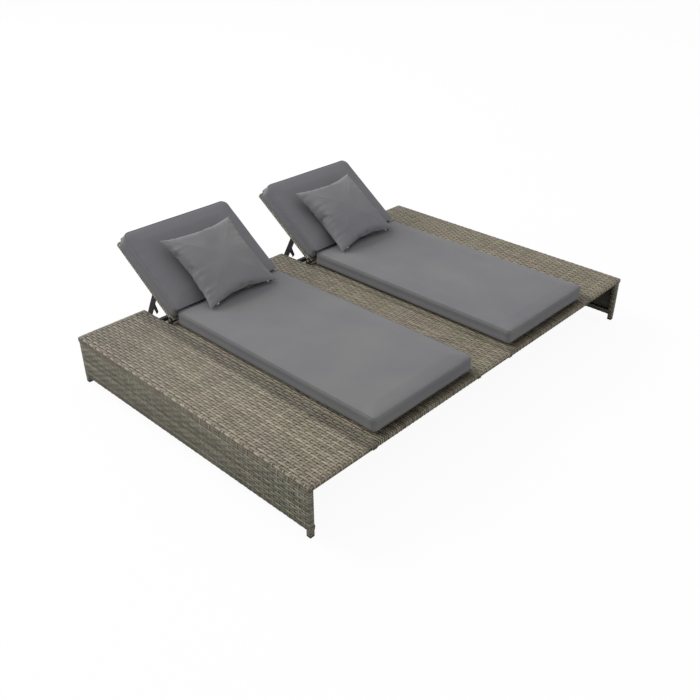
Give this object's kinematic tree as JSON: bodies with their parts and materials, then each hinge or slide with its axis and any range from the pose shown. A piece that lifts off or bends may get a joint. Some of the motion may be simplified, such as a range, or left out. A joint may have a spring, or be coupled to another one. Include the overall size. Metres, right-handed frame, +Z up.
{
  "type": "double chaise lounger",
  "caption": "Low woven platform lounger for a pair, with reclining backrests on hooked stays, boxed grey cushions, scatter pillows and side decks.",
  "frame": {"origin": "on the floor, under the middle of the lounger's overall width and depth with the backrests at their rest angle of 35 degrees", "axes": "+X across the platform to the right of someone who lies on it, +Y from the foot end to the head end, +Z up"},
  "size_m": [2.16, 1.6236, 0.5722],
  "materials": {
    "frame_paint": "satin",
    "deck_wicker": "matte",
    "side_wicker": "matte",
    "cushion_fabric": "matte",
    "pillow_fabric": "matte",
    "foot_plastic": "matte",
    "fixings": "satin"
  },
  "bodies": {
    "base": {"bay_cross_tubes": "frame_paint", "bay_edge_wraps": "deck_wicker", "bottom_rail_wraps": "side_wicker", "bottom_rails": "frame_paint", "centre_strip_bearers": "frame_paint", "centre_strip_rails": "frame_paint", "centre_strip_weave": "deck_wicker", "corner_leg_wraps": "side_wicker", "foot_caps": "foot_plastic", "front_beam": "frame_paint", "front_beam_wrap": "deck_wicker", "front_left_leg": "frame_paint", "front_right_leg": "frame_paint", "hinge_pins": "fixings", "inner_legs": "frame_paint", "left_deck_bearers": "frame_paint", "left_deck_rails": "frame_paint", "left_deck_weave": "deck_wicker", "left_hinge_brackets": "frame_paint", "left_rack_plates": "frame_paint", "left_seat_bearers": "frame_paint", "left_seat_cushion": "cushion_fabric", "left_seat_weave": "deck_wicker", "left_side_weave": "side_wicker", "rack_screws": "fixings", "rear_left_leg": "frame_paint", "rear_rails": "frame_paint", "rear_right_leg": "frame_paint", "rear_wraps": "deck_wicker", "right_deck_bearers": "frame_paint", "right_deck_rails": "frame_paint", "right_deck_weave": "deck_wicker", "right_hinge_brackets": "frame_paint", "right_rack_plates": "frame_paint", "right_seat_bearers": "frame_paint", "right_seat_cushion": "cushion_fabric", "right_seat_weave": "deck_wicker", "right_side_weave": "side_wicker", "side_posts": "frame_paint"},
    "left_backrest": {"left_backrest_side_tubes": "frame_paint", "left_backrest_cross_tubes": "frame_paint", "left_backrest_wraps": "deck_wicker", "left_backrest_weave": "deck_wicker", "left_stay_lugs": "frame_paint", "left_back_cushion": "cushion_fabric", "left_pillow": "pillow_fabric"},
    "left_stay": {"left_stay_plates": "frame_paint", "left_stay_shaft": "frame_paint", "left_stay_foot_pins": "frame_paint"},
    "right_backrest": {"right_backrest_side_tubes": "frame_paint", "right_backrest_cross_tubes": "frame_paint", "right_backrest_wraps": "deck_wicker", "right_backrest_weave": "deck_wicker", "right_stay_lugs": "frame_paint", "right_back_cushion": "cushion_fabric", "right_pillow": "pillow_fabric"},
    "right_stay": {"right_stay_plates": "frame_paint", "right_stay_shaft": "frame_paint", "right_stay_foot_pins": "frame_paint"}
  },
  "joints": [
    {"name": "left_recline", "type": "hinge", "parent": "base", "child": "left_backrest", "pos_m": [-0.43, 0.43819, 0.248], "axis": [1, 0, 0], "range_deg": [-35, 15], "deforming": ["left_pillow"]},
    {"name": "left_stay_swing", "type": "hinge", "parent": "left_backrest", "child": "left_stay", "pos_m": [-0.43, 0.58155, 0.31176], "axis": [1, 0, 0], "range_deg": [-41, 96]},
    {"name": "right_recline", "type": "hinge", "parent": "base", "child": "right_backrest", "pos_m": [0.43, 0.43819, 0.248], "axis": [1, 0, 0], "range_deg": [-35, 15], "deforming": ["right_pillow"]},
    {"name": "right_stay_swing", "type": "hinge", "parent": "right_backrest", "child": "right_stay", "pos_m": [0.43, 0.58155, 0.31176], "axis": [1, 0, 0], "range_deg": [-41, 96]}
  ],
  "couplings": [
    {"joint": "left_stay_swing", "follows": "left_recline", "ratio": -2.7248},
    {"joint": "right_stay_swing", "follows": "right_recline", "ratio": -2.7248}
  ]
}
